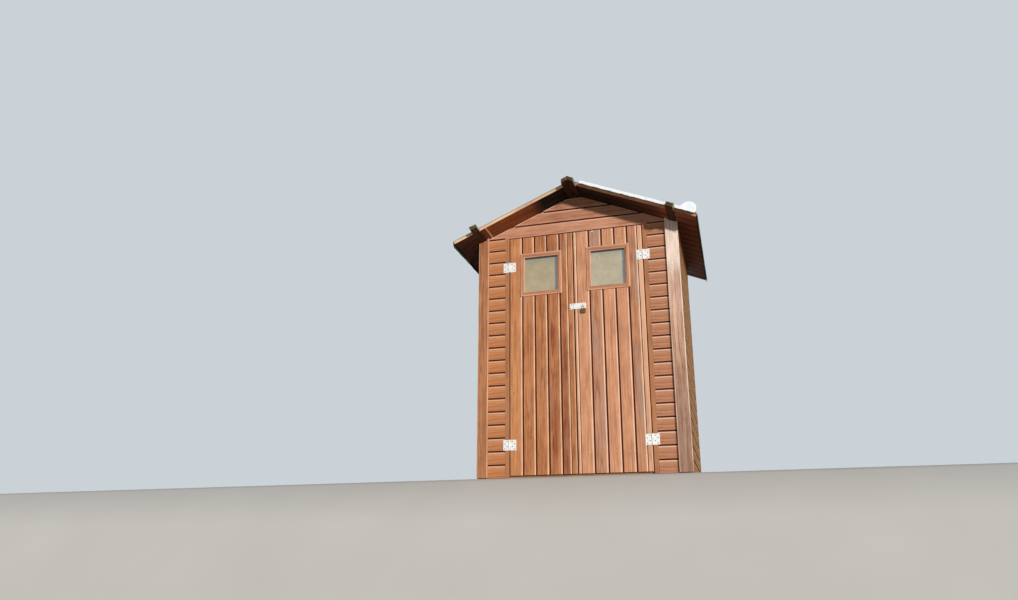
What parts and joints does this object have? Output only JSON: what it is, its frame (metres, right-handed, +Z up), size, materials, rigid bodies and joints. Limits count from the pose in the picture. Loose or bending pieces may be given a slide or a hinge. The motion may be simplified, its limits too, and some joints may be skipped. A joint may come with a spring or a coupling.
{
  "type": "double-door garden tool shed",
  "caption": "Small stained-softwood tool shed with a boarded pitched roof on purlins, glazed double doors on face-fixed butt hinges, and a padlocked hasp.",
  "frame": {"origin": "middle of the base on the ground, under the middle bearer", "axes": "+X to the right seen from the front, -Y the front with the doors, +Z up"},
  "size_m": [1.6938, 1.335, 2.0296],
  "materials": {
    "cladding_wood": "stained tongue-and-groove boards, weathered",
    "door_wood": "stained tongue-and-groove boards, weathered",
    "trim_wood": "faded stained softwood",
    "moulding_wood": "stained softwood moulding",
    "purlin_wood": "dark stained softwood",
    "roof_wood": "dark stained softwood boards",
    "framing_wood": "plain sawn softwood",
    "floor_wood": "plain sawn softwood, greyed",
    "roofing_felt": "mineral roofing felt",
    "pale_sheet": "pale roofing membrane",
    "window_glass": "dusty glass",
    "zinc_plated_steel": "zinc-plated",
    "padlock_brass": "dull",
    "shackle_steel": "hardened steel"
  },
  "bodies": {
    "shed": {"bearers": "floor_wood", "floor_boards": "floor_wood", "sole_plates": "framing_wood", "corner_posts": "framing_wood", "wall_plates": "framing_wood", "gable_studs": "framing_wood", "jamb_left": "moulding_wood", "jamb_right": "moulding_wood", "door_header": "framing_wood", "cladding_front_left": "cladding_wood", "cladding_front_right": "cladding_wood", "cladding_front_gable": "cladding_wood", "cladding_back": "cladding_wood", "cladding_left": "cladding_wood", "cladding_right": "cladding_wood", "corner_board_left": "trim_wood", "corner_board_right": "trim_wood", "corner_boards_back": "trim_wood", "ridge_purlin": "purlin_wood", "eaves_purlin_left": "purlin_wood", "eaves_purlin_right": "purlin_wood", "roof_boards_left": "roof_wood", "roof_boards_right": "roof_wood", "roof_felt_left": "roofing_felt", "roof_felt_right": "roofing_felt", "ridge_felt": "roofing_felt", "roof_sheet_right": "pale_sheet", "hinge_plates_frame_left": "zinc_plated_steel", "hinge_plates_frame_right": "zinc_plated_steel"},
    "left_door": {"left_leaf_boards": "door_wood", "left_leaf_ledges": "framing_wood", "left_window_moulding": "moulding_wood", "left_window_glass": "window_glass", "left_window_bead": "framing_wood", "hinge_plates_leaf_left": "zinc_plated_steel", "hasp_plate": "zinc_plated_steel"},
    "right_door": {"right_leaf_boards": "door_wood", "right_leaf_ledges": "framing_wood", "right_window_moulding": "moulding_wood", "right_window_glass": "window_glass", "right_window_bead": "framing_wood", "hinge_plates_leaf_right": "zinc_plated_steel", "hasp_strap": "zinc_plated_steel", "hasp_staple": "zinc_plated_steel", "padlock_body": "padlock_brass", "padlock_shackle": "shackle_steel"}
  },
  "joints": [
    {"name": "left_door_hinge", "type": "hinge", "parent": "shed", "child": "left_door", "pos_m": [-0.48, -0.45525, 0], "axis": [0, 0, -1], "range_deg": [0, 110]},
    {"name": "right_door_hinge", "type": "hinge", "parent": "shed", "child": "right_door", "pos_m": [0.462, -0.45525, 0], "axis": [0, 0, 1], "range_deg": [0, 110]}
  ]
}
